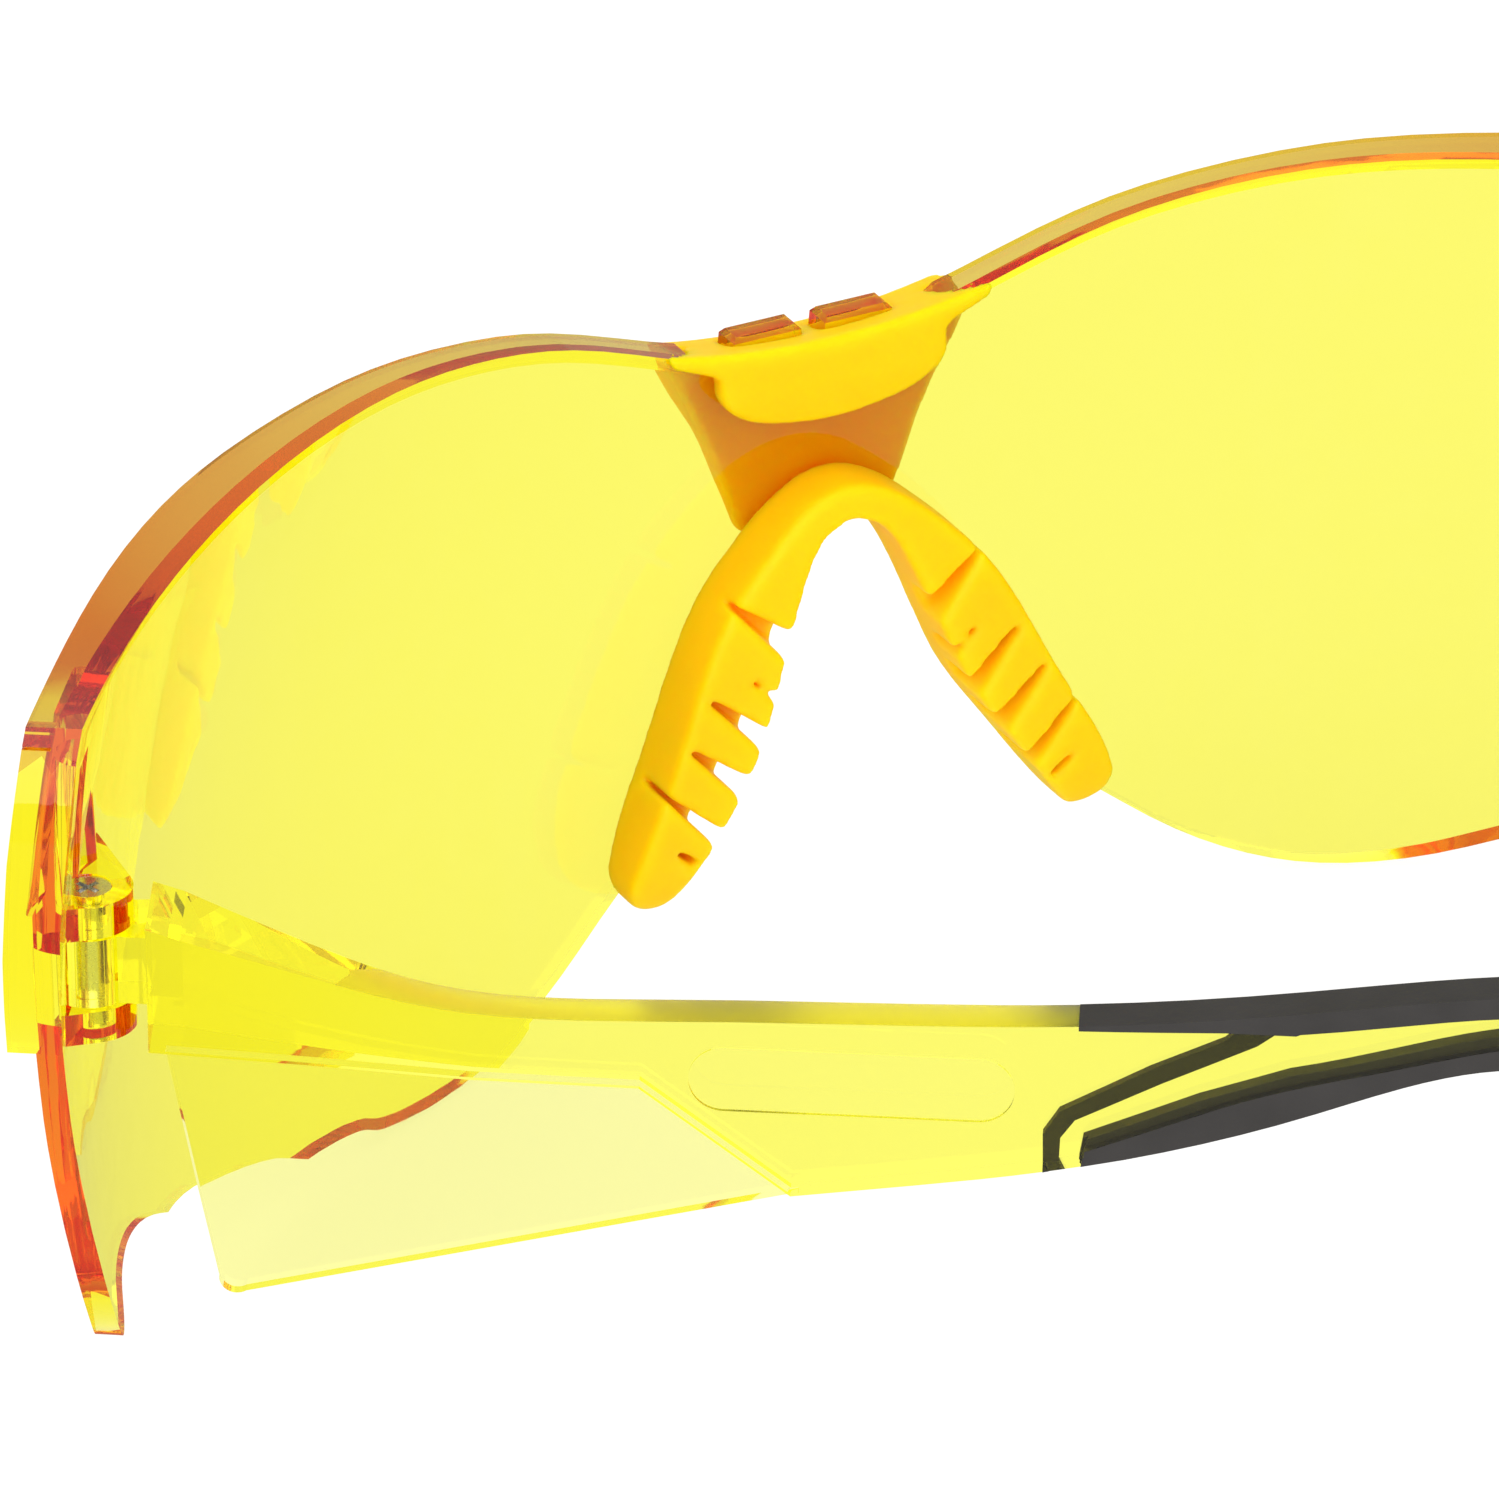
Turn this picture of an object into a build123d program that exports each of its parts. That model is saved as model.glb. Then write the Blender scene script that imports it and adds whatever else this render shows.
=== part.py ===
from build123d import *
import os
from math import sin, cos, radians, degrees

os.makedirs("parts", exist_ok=True)

# ---------------------------------------------------------------- driving dimensions (mm, degrees)
FLOOR = 31.91         # height of the plan curve's own zero level above the surface the glasses stand on
BACK = -74.72         # y of the lens centre line: puts the middle of the whole object at y = 0

PLAN_R = 72.0         # plan radius of the wrap shield at its centre
PLAN_K = -0.06        # how much the wrap opens out towards the temples
SIDE_R = 130.3        # vertical radius of the shield
SIDE_Z = -4.7         # level where the shield is upright
LENS_T = 1.5          # shield thickness
RIM_T = 3.1           # thickness of the end walls
BROW_T = [(0, 3.0), (26, 2.95), (36, 3.4), (48, 4.0), (56, 3.9), (64, 3.5), (74, 3.1), (90, 3.1)]   # of the brow rim
RIM_H = 1.0           # height of the brow rim's forward step

PIN_X, PIN_Y = 63.9, 36.75     # hinge pin, from the lens centre line
LUG_R = 2.5           # rounded end of the hinge lugs
LUG_TOP, LUG_T = 3.8, 2.0      # top face and thickness of the upper lug
LOW_TOP, LOW_BOT = -2.7, -4.6  # lower lug
SHANK_R = 0.75        # screw shank
HEAD_R = 1.3          # screw head
KNUCKLE_R = 2.4
KNUCKLE_GAP = 0.2     # up and down clearance of knuckle between the lugs
BORE_R = SHANK_R + 0.05        # running fit on the shank
FOLD_REST = 60.0      # how far the left temple is folded in at rest

ARM_OUT = 2.8         # outer face of the arm, outward from the pin
ARM_T = 2.5           # arm thickness behind the hinge block
BLOCK_T = 5.6         # thickness at the hinge block
SHIELD_T = 1.2        # thickness of the side shield
ARM_LEN = 118.0       # pin to ear tip
INWARD = 8.0          # how far the ear tip bends in towards the head
SKIN = 0.9            # clear skin of the bare band where rubber lies behind it
SEAM_COVER = 1.6      # clear plastic over the rubber line at the seam


def fz(z):
    return z + FLOOR


def fy(y):
    return y + BACK


# ---------------------------------------------------------------- shield surface
STEP = 0.25
_n = int(92 / STEP)
_curve = [(0.0, 0.0, 0.0)]


def turn(s):
    return s / PLAN_R * (1 + PLAN_K * (s / 60.0) ** 2)


for _i in range(_n):
    _s = (_i + 0.5) * STEP
    _x, _y = _curve[-1][1], _curve[-1][2]
    _curve.append(((_i + 1) * STEP, _x + cos(turn(_s)) * STEP, _y + sin(turn(_s)) * STEP))


def plan(s):
    """Point and turning angle of the shield's inner plan curve, s mm along it from the centre."""
    a = abs(s)
    i = min(int(a / STEP), _n - 1)
    f = (a - _curve[i][0]) / STEP
    x = _curve[i][1] + f * (_curve[i + 1][1] - _curve[i][1])
    y = _curve[i][2] + f * (_curve[i + 1][2] - _curve[i][2])
    sgn = 1 if s >= 0 else -1
    return sgn * x, y, sgn * turn(a)


def lean(z):
    """How far the inner surface lies towards the wearer at level z."""
    return -((z - SIDE_Z) ** 2) / (2 * SIDE_R)


def table(rows, s):
    a = abs(s)
    for (s0, z0), (s1, z1) in zip(rows, rows[1:]):
        if a <= s1:
            return z0 + (z1 - z0) * (a - s0) / (s1 - s0)
    return rows[-1][1]


TOP = [(0, 5.4), (6, 6.0), (12, 8.2), (18, 10.6), (24, 12.2), (32, 13.4), (40, 13.7), (48, 13.6), (56, 13.4),
       (64, 13.35), (72, 13.7), (78, 14.5), (86, 15.8)]
BOTTOM = [(0, -33.5), (32, -33.5), (40, -32.0), (48, -28.2), (56, -25.6), (64, -24.2), (72, -27.0), (78, -28.0),
          (86, -28.0)]     # loft only: the nose arch cut below sets the edge out to 46 mm


def station(s):
    x, y, a = plan(s)
    return Plane(origin=(x, fy(y), FLOOR), x_dir=(sin(a), -cos(a), 0), z_dir=(-cos(a), -sin(a), 0))


def curve_pt(z, t):
    return (lean(z) + t, z)


# ---------------------------------------------------------------- lens: shield, brow rim, end walls, hinge lugs, tabs
with BuildPart() as lens:
    for s in (-86, -78, -72, -64, -56, -48, -40, -32, -24, -18, -12, -6, 0, 6, 12, 18, 24, 32, 40, 48, 56, 64, 72, 78, 86):
        zt, zb = table(TOP, s), table(BOTTOM, s)
        zr, rt = zt - RIM_H, table(BROW_T, s)
        nb = (zb - SIDE_Z) / SIDE_R
        with BuildSketch(station(s)):
            with BuildLine():
                b_in = curve_pt(zb, 0)
                b_out = (b_in[0] + LENS_T, b_in[1] + LENS_T * nb)
                r_in, r_out = curve_pt(zr, LENS_T), curve_pt(zr, rt)
                t_out, t_in = curve_pt(zt, rt), curve_pt(zt, 0)
                Line(b_in, b_out)
                zm = (b_out[1] + zr) / 2
                ThreePointArc(b_out, curve_pt(zm, LENS_T), r_in)
                Line(r_in, r_out)
                Line(r_out, t_out)
                Line(t_out, t_in)
                ThreePointArc(t_in, curve_pt((zt + zb) / 2, 0), b_in)
            make_face()
    loft()

    # low saddle under the hood of the nosepiece
    with BuildSketch(Plane.XZ.offset(-fy(3.0))):
        with BuildLine():
            Polyline((-9.6, fz(7.8)), (-7.2, fz(5.5)), (-5.6, fz(4.8)), (5.6, fz(4.8)), (7.2, fz(5.5)), (9.6, fz(7.8)), (9.6, fz(12.0)),
                     (-9.6, fz(12.0)), close=True)
        make_face()
    extrude(amount=9, mode=Mode.SUBTRACT)

    # thick end walls that carry the hinges
    for sg in (1, -1):
        for s, up in ((78.4, 13.6), (82, 14.0), (86, 14.4)):
            inner = 0.2 if s < 80 else 0.0
            with BuildSketch(station(sg * s)):
                with BuildLine():
                    Polyline(curve_pt(LOW_BOT, inner), curve_pt(LOW_BOT, RIM_T), curve_pt(2, RIM_T), curve_pt(8, RIM_T),
                             curve_pt(up, RIM_T), curve_pt(up, inner), curve_pt(4, inner), close=True)
                make_face()
        loft()

    # hinge lugs: rounded tongues from the end wall round the pin
    for sg in (1, -1):
        px, py = sg * PIN_X, fy(PIN_Y)
        for top, thick in ((LUG_TOP, LUG_T), (LOW_TOP, LOW_TOP - LOW_BOT)):
            with BuildSketch(Plane.XY.offset(fz(top - thick))):
                with Locations((px, py)):
                    Circle(LUG_R)
                with Locations((px + sg * 3.2, py + 1.2)):
                    Circle(0.6)
                with Locations((px - sg * 2.6, py - 5.9)):
                    Circle(0.5)
                make_hull()
            extrude(amount=thick)
        # web that carries the upper lug up to the brow rim
        with BuildSketch(Plane.XY.offset(fz(LUG_TOP - 0.2))):
            with Locations((px - sg * 2.5, py - 5.6)):
                Circle(0.5)
            with Locations((px - sg * 1.3, py - 2.9)):
                Circle(0.6)
            with Locations((px + sg * 2.4, py - 0.6)):
                Circle(0.6)
            make_hull()
        with BuildSketch(Plane.XY.offset(fz(12.6))):
            with Locations((px - sg * 3.0, py - 6.6)):
                Circle(0.45)
            with Locations((px - sg * 1.8, py - 4.6)):
                Circle(0.45)
            with Locations((px + sg * 0.2, py - 2.2)):
                Circle(0.45)
            make_hull()
        loft()

    # rear outline: rounded brow corner, end wall, swept-back blade and its tip, and the lower edge beside it
    for sg in (1, -1):
        a = turn(78.0)
        x0, y0, _ = plan(78.0)
        side = Plane(origin=(sg * x0, fy(y0), FLOOR), x_dir=(sg * cos(a), sin(a), 0), z_dir=(sin(a), -sg * cos(a), 0))

        def w(s):
            x, y, _ = plan(s)
            return (x - x0) * cos(a) + (y - y0) * sin(a)

        with BuildSketch(side):
            with BuildLine():
                Spline((w(77.0), 17.0), (w(80.2), 14.6), (w(82.6), 10.5), (w(83.2), 4.0), (w(82.3), -1.5), (w(81.2), LOW_BOT),
                       tangents=[(1, -0.35), (-0.35, -1)])
                Spline((w(81.2), LOW_BOT), (w(79.8), -10.0), (w(78.3), -15.0), (w(76.8), -20.0), (w(75.3), -25.0),
                       tangents=[(-0.3, -1), (-0.32, -1)])
                Spline((w(75.3), -25.0), (w(74.7), -25.7), (w(74.1), -25.2), (w(73.0), -23.2), (w(71.4), -22.2),
                       (w(69.2), -22.1), (w(66.0), -23.0), (w(62.0), -24.9))
                Polyline((w(62.0), -24.9), (w(62.0), -34.0), (w(78.0) + 14, -34.0), (w(78.0) + 14, 20.0), (w(77.0), 20.0),
                         (w(77.0), 17.0))
            make_face()
        extrude(amount=9, both=True, mode=Mode.SUBTRACT)

    # nose arch
    with BuildSketch(Plane.XZ.offset(-fy(22))):
        with BuildLine():
            half = [(0.0, -2.9), (1.6, -3.5), (2.9, -5.0), (3.95, -7.5), (5.25, -10.3), (6.75, -13.5), (8.5, -16.7),
                    (10.8, -20.6), (13.4, -23.7), (16.2, -25.9), (19.5, -28.3), (23.0, -30.2), (27.0, -31.4), (31.0, -31.6),
                    (35.0, -31.0), (39.0, -29.8), (43.0, -28.85), (47.5, -28.7)]
            right = [(-x, fz(z)) for x, z in half[::-1]]
            Spline(*right, tangents=[(1, -0.05), (1, 0)])
            Spline(*[(x, fz(z)) for x, z in half], tangents=[(1, 0), (1, 0.05)])
            Polyline((half[-1][0], fz(half[-1][1])), (half[-1][0], fz(-34)), (-half[-1][0], fz(-34)),
                     (-half[-1][0], fz(half[-1][1])))
        make_face()
    extrude(amount=26, mode=Mode.SUBTRACT)

    # two tabs that stand up through the windows of the nosepiece
    for sg in (1, -1):
        with BuildSketch(Plane.XY.offset(fz(3.9))):
            with Locations((sg * 2.95, fy(-1.75))):
                Rectangle(4.7, 2.3)
        extrude(amount=2.4, taper=4)
        # bevelled top
        with BuildSketch(Plane.XY.offset(fz(6.3))):
            with Locations((sg * 2.95, fy(-1.75))):
                Rectangle(4.36, 1.96)
        extrude(amount=0.3, taper=42)

    # pockets for the knuckles, then the screw holes
    for sg in (1, -1):
        with Locations((sg * PIN_X, fy(PIN_Y), fz((LUG_TOP - LUG_T + LOW_TOP) / 2))):
            Cylinder(KNUCKLE_R + 0.45, LUG_TOP - LUG_T - LOW_TOP, mode=Mode.SUBTRACT)
        with Locations((sg * PIN_X, fy(PIN_Y), fz(LUG_TOP - LUG_T / 2))):
            Cylinder(BORE_R, LUG_T + 1, mode=Mode.SUBTRACT)
        with Locations((sg * PIN_X, fy(PIN_Y), fz(LUG_TOP - 0.1 + 4))):
            Cylinder(HEAD_R + 0.05, 8, mode=Mode.SUBTRACT)
        with Locations((sg * PIN_X, fy(PIN_Y), fz(LUG_TOP - 0.1 - 0.55 / 2))):
            Cone(BORE_R, HEAD_R + 0.05, 0.55, mode=Mode.SUBTRACT)
        with Locations((sg * PIN_X, fy(PIN_Y), fz(LOW_BOT + 0.3 + 1.2))):
            Cylinder(SHANK_R + 0.01, 2.4, mode=Mode.SUBTRACT)
lens.part.label = "lens"
export_step(lens.part, "parts/lens.step")

# ---------------------------------------------------------------- hinge screws
for side_name, sg in (("left", 1), ("right", -1)):
    with BuildPart() as hinge_screw:
        with Locations((sg * PIN_X, fy(PIN_Y), fz((LUG_TOP - 0.6 + LOW_BOT + 0.4) / 2))):
            Cylinder(SHANK_R, LUG_TOP - 0.6 - LOW_BOT - 0.4)
        with Locations((sg * PIN_X, fy(PIN_Y), fz(LUG_TOP - 0.1 - 0.5 / 2))):
            Cone(SHANK_R, HEAD_R, 0.5)
        with BuildSketch(Plane.XY.offset(fz(LUG_TOP - 0.1 - 0.35))):
            with Locations((sg * PIN_X, fy(PIN_Y))):
                Rectangle(1.5, 0.34, rotation=20)
                Rectangle(0.34, 1.5, rotation=20)
        extrude(amount=0.6, mode=Mode.SUBTRACT)
    hinge_screw.part.label = "hinge_screw_" + side_name
    export_step(hinge_screw.part, "parts/hinge_screw_" + side_name + ".step")

# ---------------------------------------------------------------- nosepiece: hood, front plate, arch, finned pads
with BuildPart() as hood:
    # hood and front plate in the front view
    with BuildSketch(Plane.XZ.offset(-fy(2.3))):
        with BuildLine():
            Polyline((-11.1, fz(8.6)), (11.1, fz(8.6)), (9.9, fz(6.2)), (7.05, fz(0.0)), (4.9, fz(-6.0)), (-4.9, fz(-6.0)),
                     (-7.05, fz(0.0)), (-9.9, fz(6.2)), close=True)
        make_face()
    extrude(amount=6.6)
    # its profile from the side: thick cap above, thin plate on the front, short flap on the wearer's side
    with BuildSketch(Plane.YZ.offset(-12)):
        with BuildLine():
            Polyline((fy(-4.0), fz(9.5)), (fy(-4.25), fz(5.5)), (fy(-4.1), fz(3.2)), (fy(-2.9), fz(1.2)), (fy(-2.7), fz(-7.0)),
                     (fy(-1.2), fz(-7.0)), (fy(-0.8), fz(1.0)), (fy(1.9), fz(1.0)), (fy(2.2), fz(4.0)), (fy(1.5), fz(9.5)), close=True)
        make_face()
    extrude(amount=24, mode=Mode.INTERSECT)
    # wearer's side: the flap ends in a shallow curve, and is narrower than the hood
    with BuildSketch(Plane.XZ.offset(-fy(3.0))):
        with BuildLine():
            Spline((-7.4, fz(4.6)), (-6.2, fz(3.0)), (-3.0, fz(1.9)), (0.0, fz(1.6)), (3.0, fz(1.9)), (6.2, fz(3.0)), (7.4, fz(4.6)))
            Polyline((7.4, fz(4.6)), (7.2, fz(5.7)), (12, fz(7.6)), (12, fz(-8.0)), (-12, fz(-8.0)), (-12, fz(7.6)), (-7.2, fz(5.7)),
                     (-7.4, fz(4.6)))
        make_face()
    extrude(amount=3.6, mode=Mode.SUBTRACT)
    # the top is a shallow valley that falls towards the front
    with BuildSketch(Plane.XZ.offset(-fy(3.0))):
        with BuildLine():
            Spline((-12.0, fz(8.5)), (-6.0, fz(7.3)), (0.0, fz(6.95)), (6.0, fz(7.3)), (12.0, fz(8.5)))
            Polyline((12.0, fz(8.5)), (12.0, fz(16.0)), (-12.0, fz(16.0)), (-12.0, fz(8.5)))
        make_face()
    extrude(amount=9, dir=(0, -1, -0.27), mode=Mode.SUBTRACT)

# arch and pads in the front view
outer = [(0.0, -2.2), (2.6, -2.9), (5.2, -4.9), (8.2, -8.0), (10.7, -12.3), (12.8, -16.8), (14.9, -20.8), (15.6, -22.6)]
inner = [(13.2, -25.3), (11.2, -22.6), (9.4, -19.9), (7.6, -17.2), (6.2, -14.4), (4.9, -11.0), (3.7, -8.0), (2.6, -5.7),
         (1.4, -4.5), (0.0, -4.1)]
with BuildPart() as pads:
    with BuildSketch(Plane.XZ.offset(-fy(7.5))):
        with BuildLine():
            Spline(*([(-x, fz(z)) for x, z in outer[::-1]] + [(x, fz(z)) for x, z in outer[1:]]))
            ThreePointArc((15.6, fz(-22.6)), (15.2, fz(-24.9)), (13.2, fz(-25.3)))
            Spline(*([(x, fz(z)) for x, z in inner] + [(-x, fz(z)) for x, z in inner[:-1][::-1]]))
            ThreePointArc((-13.2, fz(-25.3)), (-15.2, fz(-24.9)), (-15.6, fz(-22.6)))
        make_face()
    extrude(amount=8.8)
    with BuildSketch(Plane.YZ.offset(-18)):
        with BuildLine():
            Spline((fy(3.4), fz(-1.0)), (fy(4.0), fz(-3.0)), (fy(5.0), fz(-9.0)), (fy(6.2), fz(-16.0)), (fy(6.8), fz(-21.0)),
                   (fy(6.0), fz(-24.6)), (fy(3.4), fz(-26.5)))
            Polyline((fy(3.4), fz(-26.5)), (fy(2.4), fz(-26.5)), (fy(1.6), fz(-21.0)), (fy(0.6), fz(-16.0)), (fy(0.4), fz(-12.0)),
                     (fy(0.2), fz(-8.0)), (fy(-1.2), fz(-5.5)), (fy(-1.2), fz(-1.0)), (fy(3.4), fz(-1.0)))
        make_face()
    extrude(amount=36, mode=Mode.INTERSECT)
    # wedge grooves across the bearing edge leave it as overlapping fins
    for sg in (1, -1):
        for corners in (
            ((8.27, -7.26), (3.98, -10.26), (4.99, -11.57), (8.45, -7.45)),
            ((7.63, -11.81), (5.54, -13.5), (5.69, -14.09), (7.8, -12.0)),
            ((10.46, -12.3), (5.11, -16.38), (6.03, -17.71), (10.64, -12.49)),
            ((11.85, -15.12), (6.97, -18.6), (8.12, -19.72), (12.03, -15.31)),
            ((13.6, -17.53), (9.67, -20.91), (10.14, -22.1), (13.79, -17.71)),
            ((13.61, -20.81), (11.43, -22.3), (11.67, -22.89), (13.77, -21.01)),
        ):
            with BuildSketch(Plane.XZ.offset(-fy(8.0))):
                with BuildLine():
                    Polyline(*[(sg * gx, fz(gz)) for gx, gz in corners], close=True)
                make_face()
            extrude(amount=5.0, mode=Mode.SUBTRACT)

with BuildPart() as nose_piece:
    add(hood.part)
    add(pads.part)
    add(lens.part, mode=Mode.SUBTRACT)
nose_piece.part.label = "nose_piece"
export_step(nose_piece.part, "parts/nose_piece.step")

# ---------------------------------------------------------------- temples, drawn open: d mm behind the pin, n mm outward of it


def ty(d):
    return fy(PIN_Y + d)


def tx(n):
    return PIN_X + n


def bend(d):
    return -INWARD * (max(d - 50.0, 0.0) / (ARM_LEN - 50.0)) ** 2


arm_top = [(3.3, 2.6), (10.0, 0.5), (18.5, -1.9), (33.0, -2.6), (54.0, -2.6), (66.0, -1.9), (77.0, -1.2), (88.0, -2.4),
           (98.0, -7.2), (107.0, -14.8), (113.5, -22.4)]
arm_low = [(112.0, -30.8), (104.5, -24.5), (96.5, -15.6), (87.0, -8.2), (77.0, -5.6), (66.0, -8.3), (54.0, -11.3),
           (38.2, -13.4)]
# front edge of the rubber: up from the lower edge, round a corner, then up to the top edge
seam = [(52.0, -11.6), (52.0, -9.8), (52.9, -8.4), (57.8, -5.8), (61.9, -4.0), (62.4, -3.5), (62.0, -2.95), (54.0, -2.85)]
seam_in = [(52.8, -11.6), (52.9, -10.0), (53.7, -8.9), (58.4, -6.6), (63.6, -4.3), (64.6, -3.6), (66.0, -3.1)]
band_low = [(54.0, -11.3), (54.3, -10.4), (60.5, -8.1), (65.4, -6.6), (71.4, -5.4), (77.0, -4.4), (88.0, -5.9), (97.0, -11.6),
            (103.0, -17.8)]
band_top = [(103.6, -15.6), (98.2, -9.9), (88.0, -4.2), (77.0, -2.4), (71.4, -2.7), (66.0, -3.1)]

def ep(rows):
    return [(ty(d), fz(z)) for d, z in rows]


for side_name, sg in (("left", 1), ("right", -1)):
    elevation = Plane(origin=(sg * tx(6), 0, 0), x_dir=(0, 1, 0), z_dir=(1, 0, 0))
    with BuildPart() as arm:
        # whole arm seen from the side
        with BuildSketch(elevation):
            with BuildLine():
                Spline(*ep(arm_top), tangents=[(1, -0.35), (0.62, -1)])
                Spline(*ep([(113.5, -22.4), (116.6, -27.4), (116.4, -31.0), (113.9, -31.9), (112.0, -30.8)]),
                       tangents=[(0.62, -1), (-0.75, 0.75)])
                Spline(*ep(arm_low), tangents=[(-0.75, 0.75), (-1, -0.12)])
                Polyline(*ep([(38.2, -13.4), (30.0, -6.8), (20.8, -6.4), (11.5, -5.6), (3.3, -5.0), (3.3, 2.6)]))
            make_face()
        extrude(amount=-22 * sg)
        # its thickness seen from above
        with BuildSketch(Plane.XY.offset(fz(-40))):
            with BuildLine():
                out = [(sg * tx(ARM_OUT + bend(d)), ty(d)) for d in (45, 60, 75, 90, 105, 119)]
                inn = [(sg * tx(ARM_OUT - ARM_T + bend(d)), ty(d)) for d in (119, 105, 90, 75, 60, 45)]
                Line((sg * tx(ARM_OUT), ty(3.3)), out[0])
                Spline(*out, tangents=[(0, 1), (-0.23 * sg, 1)])
                Line(out[-1], inn[0])
                Spline(*inn, tangents=[(0.23 * sg, -1), (0, -1)])
                Line(inn[-1], (sg * tx(ARM_OUT - ARM_T), ty(24)))
                Spline((sg * tx(ARM_OUT - ARM_T), ty(24)), (sg * tx(ARM_OUT - ARM_T - 0.8), ty(14)), (sg * tx(ARM_OUT - BLOCK_T), ty(5)),
                       tangents=[(0, -1), (-0.3 * sg, -1)])
                Polyline((sg * tx(ARM_OUT - BLOCK_T), ty(5)), (sg * tx(ARM_OUT - BLOCK_T), ty(3.3)), (sg * tx(ARM_OUT), ty(3.3)))
            make_face()
        extrude(amount=50, mode=Mode.INTERSECT)

    with BuildPart() as side_shield:
        with BuildSketch(Plane(origin=(sg * tx(ARM_OUT - 0.5), 0, 0), x_dir=(0, 1, 0), z_dir=(1, 0, 0))):
            with BuildLine():
                Polyline(*ep([(3.9, -4.0), (4.2, -5.1), (5.6, -13.0), (6.75, -19.1)]))
                ThreePointArc(*ep([(6.75, -19.1), (7.2, -20.1), (8.2, -20.1)]))
                Polyline(*ep([(8.2, -20.1), (38.6, -13.4), (40.0, -11.6), (31.0, -4.8), (3.9, -4.0)]))
            make_face()
        extrude(amount=-SHIELD_T * sg)

    with BuildPart() as rubber_zone:
        # everything behind the seam; on the outside a band of the arm stays bare
        with BuildSketch(elevation):
            with BuildLine():
                Polyline(*ep(seam))
                Polyline(*ep([(54.0, -2.85), (54.0, 8.0), (130.0, 8.0), (130.0, -40.0), (52.0, -40.0), (52.0, -11.6)]))
            make_face()
        extrude(amount=-24 * sg)

    with BuildPart() as bare_band:
        with BuildSketch(elevation):
            with BuildLine():
                Polyline(*ep(seam_in))
                Spline(*ep([(66.0, -3.1), (71.4, -2.7), (77.0, -2.4), (88.0, -4.2), (98.2, -9.9), (103.6, -15.6)]))
                ThreePointArc(*ep([(103.6, -15.6), (104.2, -17.6), (103.0, -17.8)]))
                Spline(*ep(band_low[:1:-1]))
                Polyline(*ep([(60.5, -8.1), (54.3, -10.4), (54.0, -11.6), (52.8, -11.6)]))
            make_face()
        extrude(amount=-24 * sg)
        # only its outer skin, down to the edge of the rubber
        with BuildSketch(Plane.XY.offset(fz(-40))):
            with BuildLine():
                skin_o = [(sg * tx(ARM_OUT + 1 + bend(d)), ty(d)) for d in (45, 60, 75, 90, 105, 119)]
                skin_i = [(sg * tx(ARM_OUT - SKIN + bend(d)), ty(d)) for d in (119, 105, 90, 75, 60, 45)]
                Spline(*skin_o)
                Line(skin_o[-1], skin_i[0])
                Spline(*skin_i)
                Line(skin_i[-1], skin_o[0])
            make_face()
        extrude(amount=50, mode=Mode.INTERSECT)
        # under the skin the band is a little narrower and goes right through the arm
        with BuildSketch(elevation):
            with BuildLine():
                Polyline(*ep(seam_in))
                Spline(*ep([(66.0, -3.1), (71.4, -2.9), (77.0, -2.7), (88.0, -4.5), (97.6, -10.2), (102.0, -15.0)]))
                ThreePointArc(*ep([(102.0, -15.0), (102.3, -16.2), (101.4, -16.0)]))
                Spline(*ep([(101.4, -16.0), (96.2, -10.8), (88.0, -5.4), (77.0, -3.8), (71.4, -4.8), (65.4, -6.0)]))
                Polyline(*ep([(65.4, -6.0), (60.5, -7.5), (54.2, -10.0), (53.9, -11.6), (52.8, -11.6)]))
            make_face()
        extrude(amount=-24 * sg)

    with BuildPart() as under_seam:
        # under the seam the rubber is an inlay in the inner face only, so arm and bare band are one piece
        with BuildSketch(elevation):
            with BuildLine():
                Polyline(*ep(seam[:-1]))
                Polyline(*ep([(62.0, -2.95), (66.0, -3.2), (68.0, -3.6), (61.0, -7.2), (54.5, -9.8), (53.9, -11.6),
                              (52.0, -11.6)]))
            make_face()
        extrude(amount=-24 * sg)
        with BuildSketch(Plane.XY.offset(fz(-40))):
            with BuildLine():
                deep_o = [(sg * tx(ARM_OUT + 1.0 + bend(d)), ty(d)) for d in (45, 60, 75, 90)]
                deep_i = [(sg * tx(ARM_OUT - SEAM_COVER + bend(d)), ty(d)) for d in (90, 75, 60, 45)]
                Spline(*deep_o)
                Line(deep_o[-1], deep_i[0])
                Spline(*deep_i)
                Line(deep_i[-1], deep_o[0])
            make_face()
        extrude(amount=50, mode=Mode.INTERSECT)
        add(arm.part, mode=Mode.INTERSECT)

    with BuildPart() as temple_open:
        add(arm.part)
        # shallow oval recess on the outer face
        with BuildSketch(Plane(origin=(sg * tx(ARM_OUT - 0.2), 0, 0), x_dir=(0, 1, 0), z_dir=(1, 0, 0))):
            with Locations((ty(41.6), fz(-6.4))):
                SlotOverall(17.8, 3.9, rotation=-2)
        extrude(amount=3 * sg, mode=Mode.SUBTRACT)
        # leave room for the rubber, keep the bare band
        add(rubber_zone.part, mode=Mode.SUBTRACT)
    with BuildPart() as band_core:
        add(arm.part)
        add(bare_band.part, mode=Mode.INTERSECT)

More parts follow.
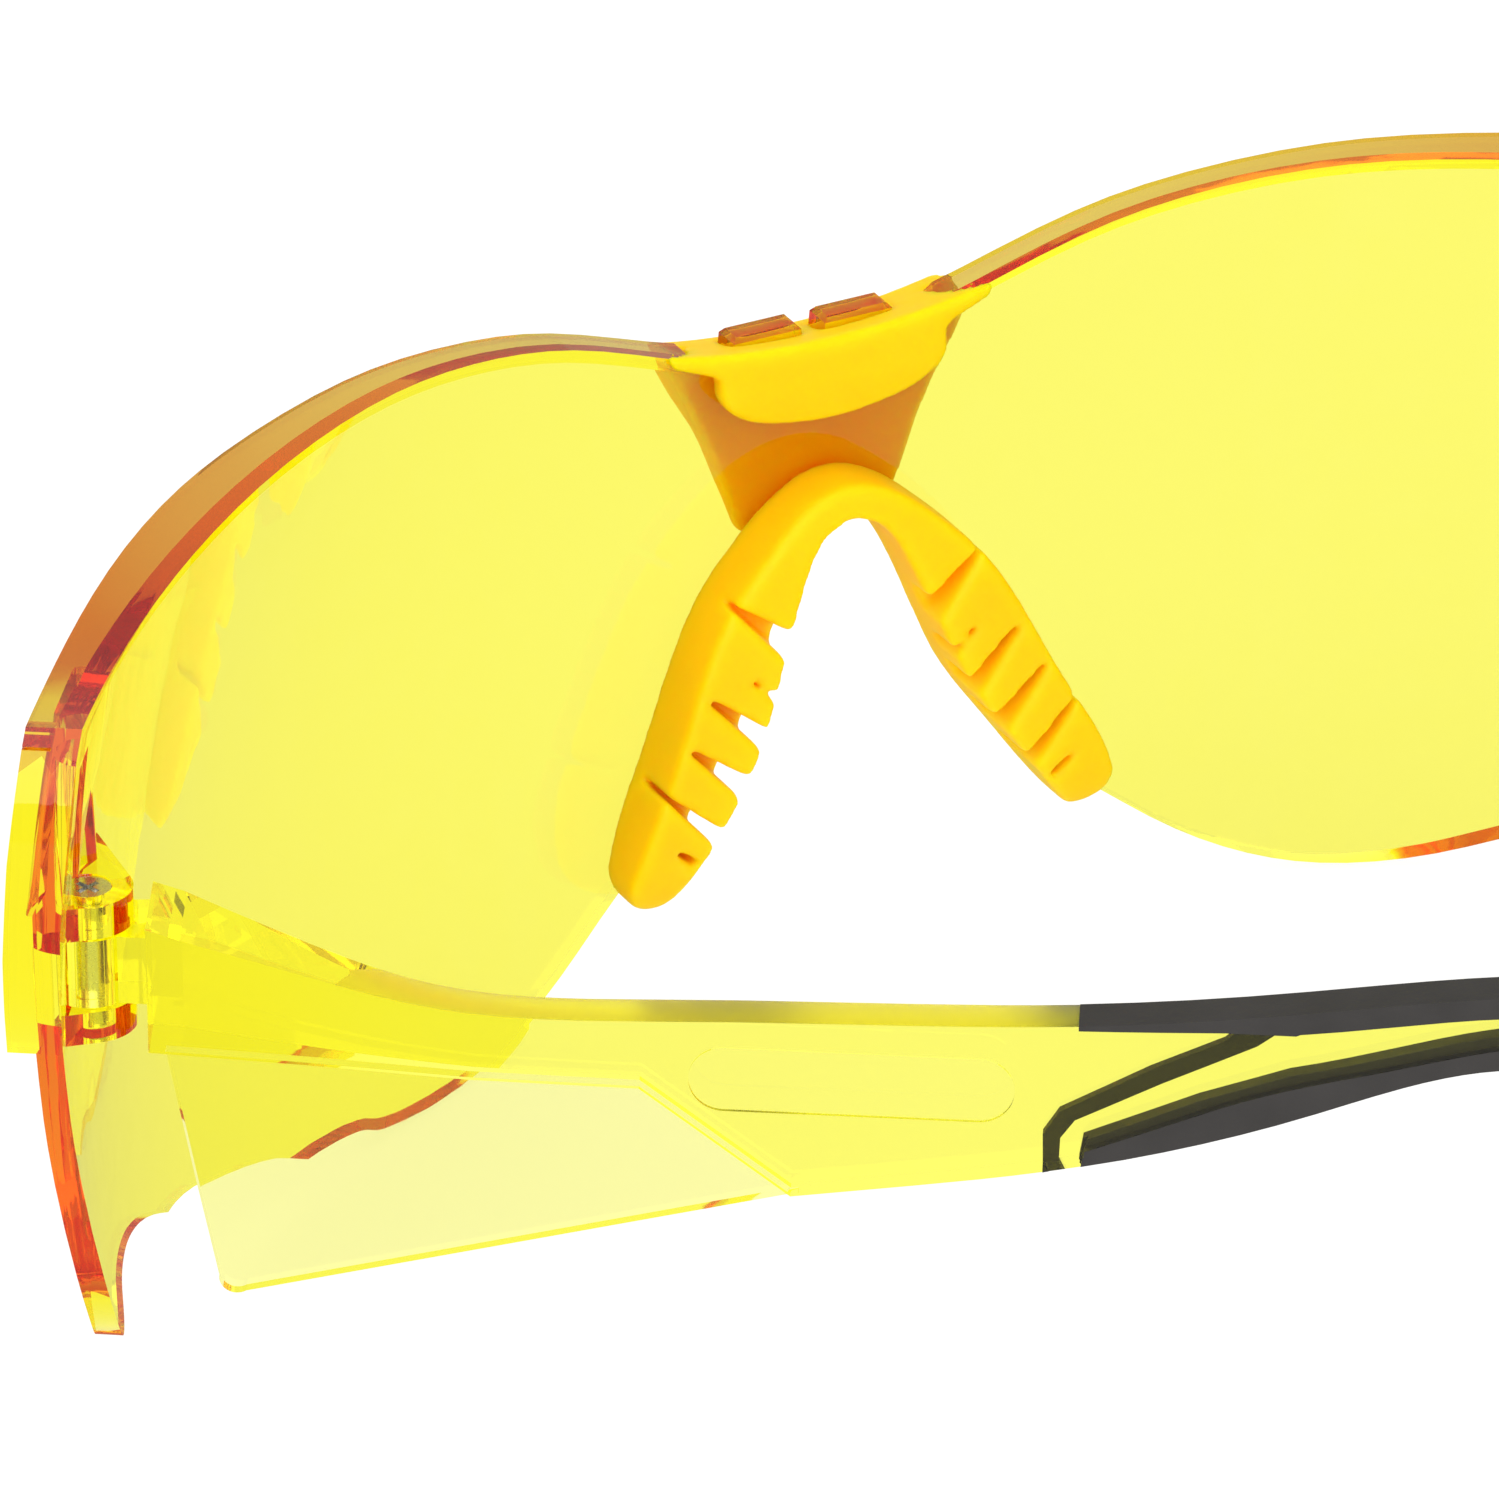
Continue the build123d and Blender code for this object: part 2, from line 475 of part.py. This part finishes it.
    knuckle_mid = (LUG_TOP - LUG_T + LOW_TOP) / 2
    knuckle_h = LUG_TOP - LUG_T - LOW_TOP - 2 * KNUCKLE_GAP
    with BuildPart() as temple_whole:
        add(temple_open.part)
        add(band_core.part)
        add(under_seam.part)
        add(side_shield.part)
        with Locations((sg * PIN_X, fy(PIN_Y), fz(knuckle_mid))):
            Cylinder(KNUCKLE_R, knuckle_h)
        with BuildSketch(Plane.XY.offset(fz(knuckle_mid - knuckle_h / 2))):
            with BuildLine():
                Polyline((sg * tx(-2.4), ty(0)), (sg * tx(1.6), ty(0)), (sg * tx(1.9), ty(3.6)), (sg * tx(-2.6), ty(3.6)), close=True)
            make_face()
        extrude(amount=knuckle_h)
        with Locations((sg * PIN_X, fy(PIN_Y), fz(knuckle_mid))):
            Cylinder(BORE_R, knuckle_h + 1, mode=Mode.SUBTRACT)

    with BuildPart() as grip_open:
        add(arm.part)
        add(rubber_zone.part, mode=Mode.INTERSECT)
        add(bare_band.part, mode=Mode.SUBTRACT)
        add(under_seam.part, mode=Mode.SUBTRACT)


    # the left temple is part folded at rest, the right one open
    fold = FOLD_REST if sg > 0 else 0.0
    hinge_axis = Axis((sg * PIN_X, fy(PIN_Y), 0), (0, 0, 1))
    with BuildPart() as temple:
        add(temple_whole.part.rotate(hinge_axis, fold))
    temple.part.label = "temple_" + side_name
    export_step(temple.part, "parts/temple_" + side_name + ".step")
    with BuildPart() as ear_grip:
        add(grip_open.part.rotate(hinge_axis, fold))
    ear_grip.part.label = "ear_grip_" + side_name
    export_step(ear_grip.part, "parts/ear_grip_" + side_name + ".step")
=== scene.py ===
import math

import bmesh
import bpy
from mathutils import Matrix, Vector


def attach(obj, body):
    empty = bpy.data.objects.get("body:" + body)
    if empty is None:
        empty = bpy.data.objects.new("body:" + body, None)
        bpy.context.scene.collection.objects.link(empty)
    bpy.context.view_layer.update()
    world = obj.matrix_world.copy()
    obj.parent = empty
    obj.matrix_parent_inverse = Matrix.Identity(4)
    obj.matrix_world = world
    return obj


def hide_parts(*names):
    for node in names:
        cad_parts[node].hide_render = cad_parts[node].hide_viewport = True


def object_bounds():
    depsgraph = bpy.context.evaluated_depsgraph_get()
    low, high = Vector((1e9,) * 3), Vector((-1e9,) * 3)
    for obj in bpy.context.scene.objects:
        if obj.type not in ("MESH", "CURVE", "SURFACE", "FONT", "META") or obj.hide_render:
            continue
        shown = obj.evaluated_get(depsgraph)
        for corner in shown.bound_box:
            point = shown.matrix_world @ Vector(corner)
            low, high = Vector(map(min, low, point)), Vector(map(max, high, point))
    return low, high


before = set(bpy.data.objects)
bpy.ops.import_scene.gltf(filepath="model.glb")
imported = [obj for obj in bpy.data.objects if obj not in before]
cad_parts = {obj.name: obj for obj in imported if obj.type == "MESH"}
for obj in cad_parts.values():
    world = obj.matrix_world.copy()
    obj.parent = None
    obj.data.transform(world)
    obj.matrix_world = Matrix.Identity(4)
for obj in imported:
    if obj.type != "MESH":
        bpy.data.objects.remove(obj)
cad_box = [[float(v) for v in corner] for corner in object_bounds()]
scene = bpy.context.scene


# ---------------------------------------------------------------- camera
def make_camera():
    psi, elev, roll = math.radians(26.853), math.radians(27.838), math.radians(-0.717)
    look = Vector((-math.sin(psi) * math.cos(elev), -math.cos(psi) * math.cos(elev), -math.sin(elev)))
    right = Vector((-math.cos(psi), math.sin(psi), 0.0))
    up = right.cross(look)
    r2 = right * math.cos(roll) + up * math.sin(roll)
    u2 = up * math.cos(roll) - right * math.sin(roll)
    cam = bpy.data.objects.new("camera", bpy.data.cameras.new("camera"))
    scene.collection.objects.link(cam)
    m = Matrix.Identity(4)
    for row in range(3):
        m[row][0], m[row][1], m[row][2] = r2[row], u2[row], -look[row]
    m[0][3], m[1][3], m[2][3] = 0.383492, 0.747848 - 0.07472, 0.422915 + 0.03191
    cam.matrix_world = m
    cam.data.lens = 390.6
    cam.data.sensor_width = 36.0
    cam.data.clip_start = 0.05
    cam.data.clip_end = 20.0
    scene.camera = cam


make_camera()


# ---------------------------------------------------------------- node helpers
class Mat:
    def __init__(self, name):
        self.m = bpy.data.materials.new(name)
        self.m.use_nodes = True
        self.nt = self.m.node_tree
        self.nt.nodes.clear()
        self.out = self.nt.nodes.new("ShaderNodeOutputMaterial")

    def node(self, kind, **values):
        n = self.nt.nodes.new(kind)
        for k, v in values.items():
            key = k.replace("_", " ")
            if key in n.inputs:
                n.inputs[key].default_value = v
            else:
                setattr(n, k, v)
        return n

    def link(self, a, b):
        self.nt.links.new(a, b)


def bump_from(mat, scales, distance, coords):
    """Fine surface grain: noise of several sizes, as real height in metres."""
    last = None
    for scale, share in scales:
        noise = mat.node("ShaderNodeTexNoise", Scale=scale, Detail=3.0, Roughness=0.55)
        mat.link(coords, noise.inputs["Vector"])
        gain = mat.node("ShaderNodeMath", operation="MULTIPLY")
        gain.inputs[1].default_value = share
        mat.link(noise.outputs["Fac"], gain.inputs[0])
        if last is None:
            last = gain.outputs[0]
        else:
            both = mat.node("ShaderNodeMath", operation="ADD")
            mat.link(last, both.inputs[0])
            mat.link(gain.outputs[0], both.inputs[1])
            last = both.outputs[0]
    bump = mat.node("ShaderNodeBump", Distance=distance, Strength=1.0)
    mat.link(last, bump.inputs["Height"])
    return bump


def clear_yellow(name, absorb=(1.2, 30.0, 1200.0), edge=False, satin=False):
    mat = Mat(name)
    coords = mat.node("ShaderNodeTexCoord").outputs["Object"]
    p = mat.node("ShaderNodeBsdfPrincipled", IOR=1.585)
    p.inputs["Base Color"].default_value = (1, 1, 1, 1)
    # painted glow: with edge set, a colour attribute on the lens tints the transmitted light amber where guided
    # light leaves the brow rim, unevened by noise
    if edge:
        tint = mat.node("ShaderNodeAttribute")
        tint.attribute_name = "painted_glow_tint"
        glow_unevenness = mat.node("ShaderNodeTexNoise", Scale=60.0, Detail=2.0)
        mat.link(coords, glow_unevenness.inputs["Vector"])
        vary = mat.node("ShaderNodeMapRange")
        vary.inputs["To Min"].default_value = 0.85
        vary.inputs["To Max"].default_value = 1.15
        mat.link(glow_unevenness.outputs["Fac"], vary.inputs["Value"])
        gam = mat.node("ShaderNodeGamma")
        mat.link(tint.outputs["Color"], gam.inputs["Color"])
        mat.link(vary.outputs[0], gam.inputs["Gamma"])
        mat.link(gam.outputs[0], p.inputs["Base Color"])
    p.inputs["Transmission Weight"].default_value = 1.0
    # moulded gloss: a trace of flow marks and handling scuffs in the polish
    flow = mat.node("ShaderNodeTexNoise", Scale=220.0, Detail=4.0, Roughness=0.6, Distortion=0.6)
    mat.link(coords, flow.inputs["Vector"])
    rough = mat.node("ShaderNodeMapRange")
    rough.inputs["From Min"].default_value = 0.35
    rough.inputs["From Max"].default_value = 0.8
    rough.inputs["To Min"].default_value = 0.0
    rough.inputs["To Max"].default_value = 0.045
    mat.link(flow.outputs["Fac"], rough.inputs["Value"])
    if satin:  # the narrow top and bottom edges of an arm are satin, not polished
        edges = mat.node("ShaderNodeAttribute")
        edges.attribute_name = "satin_edge"
        scuffed = mat.node("ShaderNodeMath", operation="MULTIPLY_ADD")
        scuffed.inputs[1].default_value = 0.55
        mat.link(edges.outputs["Fac"], scuffed.inputs[0])
        mat.link(rough.outputs[0], scuffed.inputs[2])
        mat.link(scuffed.outputs[0], p.inputs["Roughness"])
    else:
        mat.link(rough.outputs[0], p.inputs["Roughness"])
    bump = bump_from(mat, ((90.0, 1.0),), 0.00002, coords)
    mat.link(bump.outputs[0], p.inputs["Normal"])
    top = max(absorb) * 1.02
    vol = mat.node("ShaderNodeVolumeAbsorption", Density=top)
    vol.inputs["Color"].default_value = tuple(1 - a / top for a in absorb) + (1,)
    mat.link(p.outputs[0], mat.out.inputs["Surface"])
    mat.link(vol.outputs[0], mat.out.inputs["Volume"])
    return mat.m


def soft_yellow():
    mat = Mat("soft_yellow_elastomer")
    coords = mat.node("ShaderNodeTexCoord").outputs["Object"]
    p = mat.node("ShaderNodeBsdfPrincipled", IOR=1.46, Roughness=0.42)
    p.inputs["Specular IOR Level"].default_value = 0.15
    tint = mat.node("ShaderNodeTexNoise", Scale=140.0, Detail=3.0)
    mat.link(coords, tint.inputs["Vector"])
    ramp = mat.node("ShaderNodeMix", data_type="RGBA")
    ramp.inputs["A"].default_value = (1.0, 0.50, 0.001, 1)
    ramp.inputs["B"].default_value = (1.0, 0.57, 0.003, 1)
    mat.link(tint.outputs["Fac"], ramp.inputs["Factor"])
    # painted shade: hollows and grooves of the pads (low pointiness) are deepened to orange
    shape = mat.node("ShaderNodeNewGeometry")
    crease_shade_mask = mat.node("ShaderNodeMapRange")
    crease_shade_mask.inputs["From Min"].default_value = 0.50
    crease_shade_mask.inputs["From Max"].default_value = 0.40
    mat.link(shape.outputs["Pointiness"], crease_shade_mask.inputs["Value"])
    crease_shade_mix = mat.node("ShaderNodeMix", data_type="RGBA")
    crease_shade_mix.inputs["B"].default_value = (0.95, 0.27, 0.0, 1)
    mat.link(crease_shade_mask.outputs[0], crease_shade_mix.inputs["Factor"])
    mat.link(ramp.outputs["Result"], crease_shade_mix.inputs["A"])
    mat.link(crease_shade_mix.outputs["Result"], p.inputs["Base Color"])
    p.inputs["Subsurface Weight"].default_value = 1.0
    p.inputs["Subsurface Radius"].default_value = (1.0, 0.55, 0.05)
    p.inputs["Subsurface Scale"].default_value = 0.0030
    rough = mat.node("ShaderNodeTexNoise", Scale=500.0, Detail=4.0)
    mat.link(coords, rough.inputs["Vector"])
    rr = mat.node("ShaderNodeMapRange")
    rr.inputs["To Min"].default_value = 0.36
    rr.inputs["To Max"].default_value = 0.52
    mat.link(rough.outputs["Fac"], rr.inputs["Value"])
    mat.link(rr.outputs[0], p.inputs["Roughness"])
    bump = bump_from(mat, ((1500.0, 0.6), (4500.0, 0.4)), 0.000012, coords)
    mat.link(bump.outputs[0], p.inputs["Normal"])
    mat.link(p.outputs[0], mat.out.inputs["Surface"])
    return mat.m


def black_rubber():
    mat = Mat("black_rubber")
    coords = mat.node("ShaderNodeTexCoord").outputs["Object"]
    p = mat.node("ShaderNodeBsdfPrincipled", IOR=1.5)
    tint = mat.node("ShaderNodeTexNoise", Scale=260.0, Detail=5.0)
    mat.link(coords, tint.inputs["Vector"])
    mix = mat.node("ShaderNodeMix", data_type="RGBA")
    mix.inputs["A"].default_value = (0.022, 0.020, 0.019, 1)
    mix.inputs["B"].default_value = (0.040, 0.036, 0.034, 1)
    mat.link(tint.outputs["Fac"], mix.inputs["Factor"])
    mat.link(mix.outputs["Result"], p.inputs["Base Color"])
    rr = mat.node("ShaderNodeMapRange")
    rr.inputs["To Min"].default_value = 0.46
    rr.inputs["To Max"].default_value = 0.66
    mat.link(tint.outputs["Fac"], rr.inputs["Value"])
    mat.link(rr.outputs[0], p.inputs["Roughness"])
    bump = bump_from(mat, ((2200.0, 0.6), (6000.0, 0.4)), 0.000018, coords)
    mat.link(bump.outputs[0], p.inputs["Normal"])
    mat.link(p.outputs[0], mat.out.inputs["Surface"])
    return mat.m


def screw_steel():
    mat = Mat("screw_steel")
    coords = mat.node("ShaderNodeTexCoord").outputs["Object"]
    p = mat.node("ShaderNodeBsdfPrincipled")
    p.inputs["Base Color"].default_value = (0.70, 0.69, 0.67, 1)
    p.inputs["Metallic"].default_value = 1.0
    marks = mat.node("ShaderNodeTexNoise", Scale=2600.0, Detail=4.0, Distortion=1.2)
    mat.link(coords, marks.inputs["Vector"])
    rr = mat.node("ShaderNodeMapRange")
    rr.inputs["To Min"].default_value = 0.16
    rr.inputs["To Max"].default_value = 0.36
    mat.link(marks.outputs["Fac"], rr.inputs["Value"])
    mat.link(rr.outputs[0], p.inputs["Roughness"])
    bump = bump_from(mat, ((3500.0, 1.0),), 0.00001, coords)
    mat.link(bump.outputs[0], p.inputs["Normal"])
    mat.link(p.outputs[0], mat.out.inputs["Surface"])
    return mat.m


M_LENS = clear_yellow("clear_yellow_lens", (1.2, 22.0, 1200.0), True)
M_ARM = clear_yellow("clear_yellow_arm", (1.0, 8.0, 720.0), False, True)
M_SOFT = soft_yellow()
M_BLACK = black_rubber()
M_STEEL = screw_steel()


def dress(obj, material):
    obj.data.materials.clear()
    obj.data.materials.append(material)
    for poly in obj.data.polygons:
        poly.material_index = 0


for name, material in (("lens", M_LENS), ("temple_left", M_ARM), ("temple_right", M_ARM), ("nose_piece", M_SOFT),
                       ("ear_grip_left", M_BLACK), ("ear_grip_right", M_BLACK), ("hinge_screw_left", M_STEEL),
                       ("hinge_screw_right", M_STEEL)):
    dress(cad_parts[name], material)


def keep_in_box(me):
    lo, hi = cad_box
    for v in me.vertices:
        for k in range(3):
            v.co[k] = min(hi[k], max(lo[k], v.co[k]))


# ---------------------------------------------------------------- ear grips: rubber bites a hair into the clear arm
def seated_grip(side):
    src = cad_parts["ear_grip_" + side]
    me = src.data.copy()
    me.name = "grip_moulding_" + side
    bm = bmesh.new()
    bm.from_mesh(me)
    bmesh.ops.remove_doubles(bm, verts=bm.verts, dist=1e-6)
    bm.normal_update()
    moves = {}
    for v in bm.verts:
        moves[v] = v.normal * (0.00004 * min(1.0, max(0.0, (v.co.z - 0.008) / 0.006)))
    for v, d in moves.items():
        v.co += d
    for e in bm.edges:
        e.smooth = len(e.link_faces) == 2 and e.calc_face_angle(0.0) < math.radians(32)
    for f in bm.faces:
        f.smooth = True
        f.material_index = 0
    bm.to_mesh(me)
    bm.free()
    keep_in_box(me)
    ob = bpy.data.objects.new("grip_moulding_" + side, me)
    scene.collection.objects.link(ob)
    me.materials.clear()
    me.materials.append(M_BLACK)
    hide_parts("ear_grip_" + side)
    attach(ob, side + "_temple")
    return ob


for side in ("left", "right"):
    seated_grip(side)


# ---------------------------------------------------------------- lens: the same moulding, with the amber glow of its brow edge painted into its colour
def lens_with_painted_glow():
    """Light caught in the shield comes out at the top of the brow rim; that glow is painted as an amber colour tint
    on the narrow top face, growing from the middle of the brow to the hinges."""
    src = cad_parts["lens"]
    me = src.data.copy()
    me.name = "lens_moulding"
    ob = bpy.data.objects.new("lens_moulding", me)
    scene.collection.objects.link(ob)
    attr = me.attributes.new("painted_glow_tint", "FLOAT_COLOR", "CORNER")
    # painted glow: colours painted on the rim's top faces for the guided light that comes out there; white
    # elsewhere
    mid, corner, end = (0.82, 0.63, 0.40), (0.70, 0.22, 0.01), (0.86, 0.62, 0.08)
    for poly in me.polygons:
        c = poly.center
        top = poly.normal.z > 0.55 and c.z > 0.0362 and abs(c.x) > 0.0080
        for li in poly.loop_indices:
            p = me.vertices[me.loops[li].vertex_index].co
            if not top:
                attr.data[li].color = (1, 1, 1, 1)
                continue
            share = min(1.0, max(0.0, (abs(p.x) - 0.018) / 0.040)) ** 1.5
            col = [mid[k] + (corner[k] - mid[k]) * share for k in range(3)]
            wall = min(1.0, max(0.0, (p.y + 0.0440) / 0.003))  # on top of the end walls the painted glow is amber again
            col = [col[k] + (end[k] - col[k]) * wall for k in range(3)]
            attr.data[li].color = (col[0] ** 2, col[1] ** 2, col[2] ** 2, 1)
    me.materials.clear()
    me.materials.append(M_LENS)
    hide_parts("lens")
    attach(ob, "front")
    return ob


lens_with_painted_glow()


# ---------------------------------------------------------------- arms: the same mouldings, with satin narrow edges
def satin_arm(side):
    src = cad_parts["temple_" + side]
    me = src.data.copy()
    me.name = "arm_moulding_" + side
    ob = bpy.data.objects.new("arm_moulding_" + side, me)
    scene.collection.objects.link(ob)
    attr = me.attributes.new("satin_edge", "FLOAT", "FACE")
    for poly in me.polygons:
        c = poly.center
        narrow = poly.normal.z > 0.5 and c.z > 0.012 and c.y > -0.030
        attr.data[poly.index].value = 1.0 if narrow else 0.0
    me.materials.clear()
    me.materials.append(M_ARM)
    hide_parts("temple_" + side)
    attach(ob, side + "_temple")
    return ob


for side in ("left", "right"):
    satin_arm(side)


# ---------------------------------------------------------------- nosepiece: soft moulding with rounded fins
def soft_nose():
    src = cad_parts["nose_piece"]
    me = src.data.copy()
    me.name = "nose_moulding"
    ob = bpy.data.objects.new("nose_moulding", me)
    scene.collection.objects.link(ob)
    rem = ob.modifiers.new("remesh", "REMESH")
    rem.mode = "VOXEL"
    rem.voxel_size = 0.00019
    rem.use_smooth_shade = True
    sm = ob.modifiers.new("smooth", "SMOOTH")
    sm.factor = 0.5
    sm.iterations = 14
    pads = ob.vertex_groups.new(name="pads")
    soft = ob.modifiers.new("round_pads", "SMOOTH")
    soft.factor = 0.5
    soft.iterations = 16
    soft.vertex_group = "pads"
    disp = ob.modifiers.new("seat", "DISPLACE")
    disp.mid_level = 0.0
    disp.strength = 0.00007
    # remesh first, so that the pads' vertices can be weighted
    for m in list(ob.modifiers)[1:]:
        m.show_viewport = False
    dg = bpy.context.evaluated_depsgraph_get()
    dense = bpy.data.meshes.new_from_object(ob.evaluated_get(dg))
    ob.modifiers.remove(rem)
    ob.data = dense
    bpy.data.meshes.remove(me)
    for v in dense.vertices:
        w = min(1.0, max(0.0, (0.0295 - v.co.z) / 0.004))
        if w > 0:
            pads.add([v.index], w, "REPLACE")
    for m in ob.modifiers:
        m.show_viewport = True
    bpy.context.view_layer.update()
    dg = bpy.context.evaluated_depsgraph_get()
    done = bpy.data.meshes.new_from_object(ob.evaluated_get(dg))
    ob.modifiers.clear()
    ob.data = done
    bpy.data.meshes.remove(dense)
    keep_in_box(done)
    done.materials.clear()
    done.materials.append(M_SOFT)
    done.polygons.foreach_set("material_index", [0] * len(done.polygons))
    done.polygons.foreach_set("use_smooth", [True] * len(done.polygons))
    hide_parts("nose_piece")
    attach(ob, "front")
    return ob


soft_nose()


# ---------------------------------------------------------------- floor and studio
def floor():
    me = bpy.data.meshes.new("floor")
    n, size = 24, 6.0
    verts = [((i / n - 0.5) * size, (j / n - 0.5) * size, -0.0002) for j in range(n + 1) for i in range(n + 1)]
    faces = [(j * (n + 1) + i, j * (n + 1) + i + 1, (j + 1) * (n + 1) + i + 1, (j + 1) * (n + 1) + i)
             for j in range(n) for i in range(n)]
    me.from_pydata(verts, [], faces)
    ob = bpy.data.objects.new("floor", me)
    scene.collection.objects.link(ob)
    mat = Mat("floor_white")
    d = mat.node("ShaderNodeBsdfDiffuse")
    d.inputs["Color"].default_value = (0.9, 0.9, 0.9, 1)
    glow = mat.node("ShaderNodeEmission", Strength=1.08)
    glow.inputs["Color"].default_value = (1, 1, 1, 1)
    dim = mat.node("ShaderNodeEmission", Strength=0.30)
    dim.inputs["Color"].default_value = (1, 0.97, 0.9, 1)
    path = mat.node("ShaderNodeLightPath")
    lit = mat.node("ShaderNodeMapRange")
    lit.inputs["To Min"].default_value = 1.0
    lit.inputs["To Max"].default_value = 1.08
    mat.link(path.outputs["Is Camera Ray"], lit.inputs["Value"])
    mat.link(lit.outputs[0], glow.inputs["Strength"])
    e = mat.node("ShaderNodeMixShader")
    only = mat.node("ShaderNodeMath", operation="SUBTRACT", use_clamp=True)
    mat.link(path.outputs["Is Glossy Ray"], only.inputs[0])
    mat.link(path.outputs["Is Transmission Ray"], only.inputs[1])
    mat.link(only.outputs[0], e.inputs[0])
    mat.link(glow.outputs[0], e.inputs[1])
    mat.link(dim.outputs[0], e.inputs[2])
    mix = mat.node("ShaderNodeMixShader")
    mix.inputs[0].default_value = 0.85
    mat.link(d.outputs[0], mix.inputs[1])
    mat.link(e.outputs[0], mix.inputs[2])
    mat.link(mix.outputs[0], mat.out.inputs["Surface"])
    me.materials.append(mat.m)


floor()

world = bpy.data.worlds.new("studio")
scene.world = world
world.use_nodes = True
bg = world.node_tree.nodes["Background"]
bg.inputs["Color"].default_value = (1, 1, 1, 1)
bg.inputs["Strength"].default_value = 1.0
wt = world.node_tree
path = wt.nodes.new("ShaderNodeLightPath")
only = wt.nodes.new("ShaderNodeMath")
only.operation = "SUBTRACT"
only.use_clamp = True
wt.links.new(path.outputs["Is Glossy Ray"], only.inputs[0])
wt.links.new(path.outputs["Is Transmission Ray"], only.inputs[1])
level = wt.nodes.new("ShaderNodeMapRange")
level.inputs["To Min"].default_value = 1.0
level.inputs["To Max"].default_value = 0.32
wt.links.new(only.outputs[0], level.inputs["Value"])
wt.links.new(level.outputs[0], bg.inputs["Strength"])


def area(name, at, to, size, power, color=(1, 1, 1)):
    data = bpy.data.lights.new(name, "AREA")
    data.shape = "RECTANGLE"
    data.size, data.size_y = size
    data.energy = power
    data.color = color
    ob = bpy.data.objects.new(name, data)
    ob.location = at
    ob.rotation_euler = (Vector(to) - Vector(at)).to_track_quat("-Z", "Y").to_euler()
    scene.collection.objects.link(ob)
    return ob


area("key", (0.5, 0.5, 1.0), (0, 0, 0.02), (1.6, 1.6), 9.5)
area("wearer_fill", (0.25, 1.1, 0.35), (0, -0.07, 0.03), (0.9, 0.6), 4.5)

scene.view_settings.view_transform = "Standard"
scene.view_settings.look = "None"

# light caught in the clear pieces turns many corners before it comes out
scene.cycles.max_bounces = 96
scene.cycles.transmission_bounces = 96
scene.cycles.glossy_bounces = 96

bpy.context.view_layer.update()
